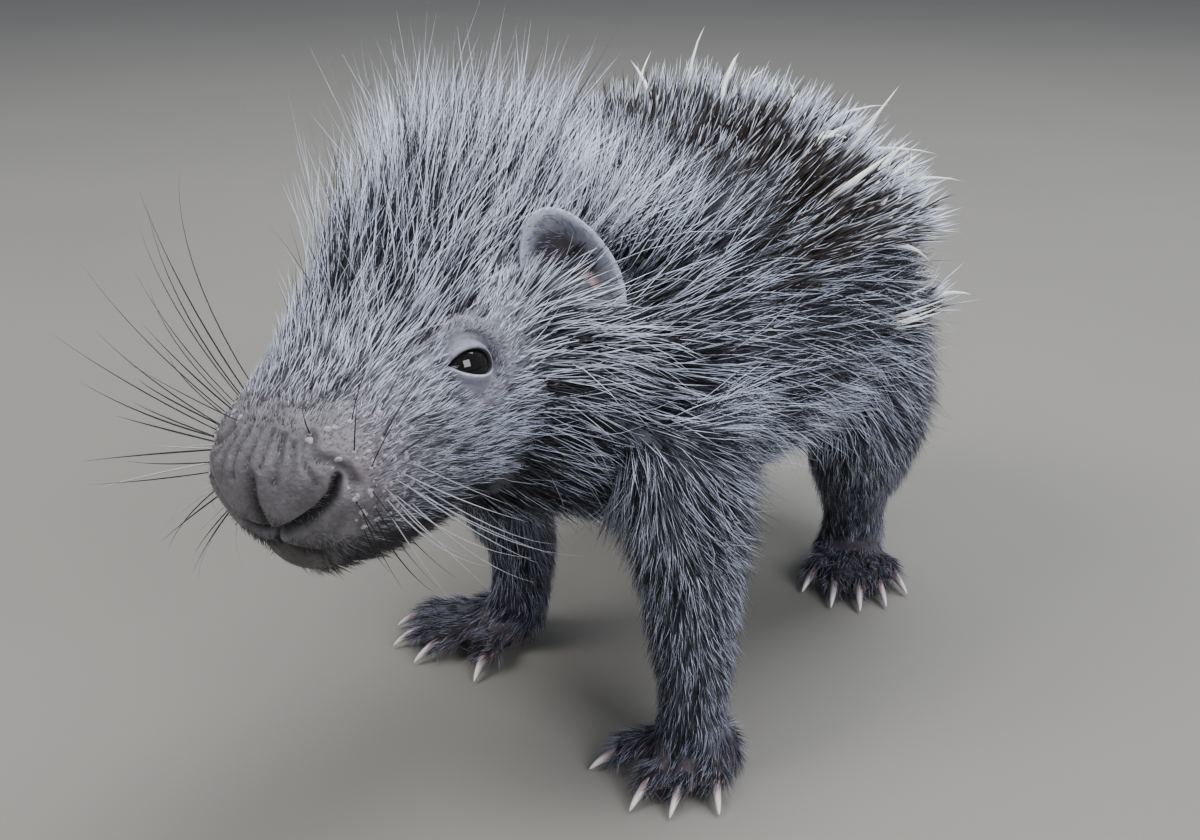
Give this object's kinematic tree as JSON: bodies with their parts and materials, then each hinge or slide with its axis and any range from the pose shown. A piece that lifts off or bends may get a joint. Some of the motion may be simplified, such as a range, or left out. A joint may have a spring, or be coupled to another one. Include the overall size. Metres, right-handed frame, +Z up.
{
  "type": "porcupine",
  "caption": "Still, life-size baby Old World porcupine standing on four paws, with bristly coat, raised crest, spines on its back and long whiskers.",
  "frame": {"origin": "on the floor, under the middle of the part's box", "axes": "+Z up; the animal faces -Y; +X is its left side"},
  "size_m": [0.119, 0.205, 0.1346],
  "materials": {
    "coat": "coarse bristles, near black at the root and silver at the tip",
    "leg_fur": "short flat fur, near black with a blue sheen",
    "skin": "bare lilac-grey skin with fine pale down",
    "eye": "wet black",
    "horn": "pale horn with a pink quick, satin"
  },
  "bodies": {
    "root": {"head": "coat", "neck": "coat", "torso": "coat", "tail": "coat", "ear_left": "skin", "eye_left": "eye", "ear_right": "skin", "eye_right": "eye", "leg_front_left": "leg_fur", "leg_front_right": "leg_fur", "leg_hind_left": "leg_fur", "leg_hind_right": "leg_fur", "paw_front_left": "leg_fur", "claw_front_left_1": "horn", "claw_front_left_2": "horn", "claw_front_left_3": "horn", "claw_front_left_4": "horn", "paw_front_right": "leg_fur", "claw_front_right_1": "horn", "claw_front_right_2": "horn", "claw_front_right_3": "horn", "claw_front_right_4": "horn", "paw_hind_left": "leg_fur", "claw_hind_left_1": "horn", "claw_hind_left_2": "horn", "claw_hind_left_3": "horn", "claw_hind_left_4": "horn", "claw_hind_left_5": "horn", "paw_hind_right": "leg_fur", "claw_hind_right_1": "horn", "claw_hind_right_2": "horn", "claw_hind_right_3": "horn", "claw_hind_right_4": "horn", "claw_hind_right_5": "horn"}
  },
  "joints": []
}
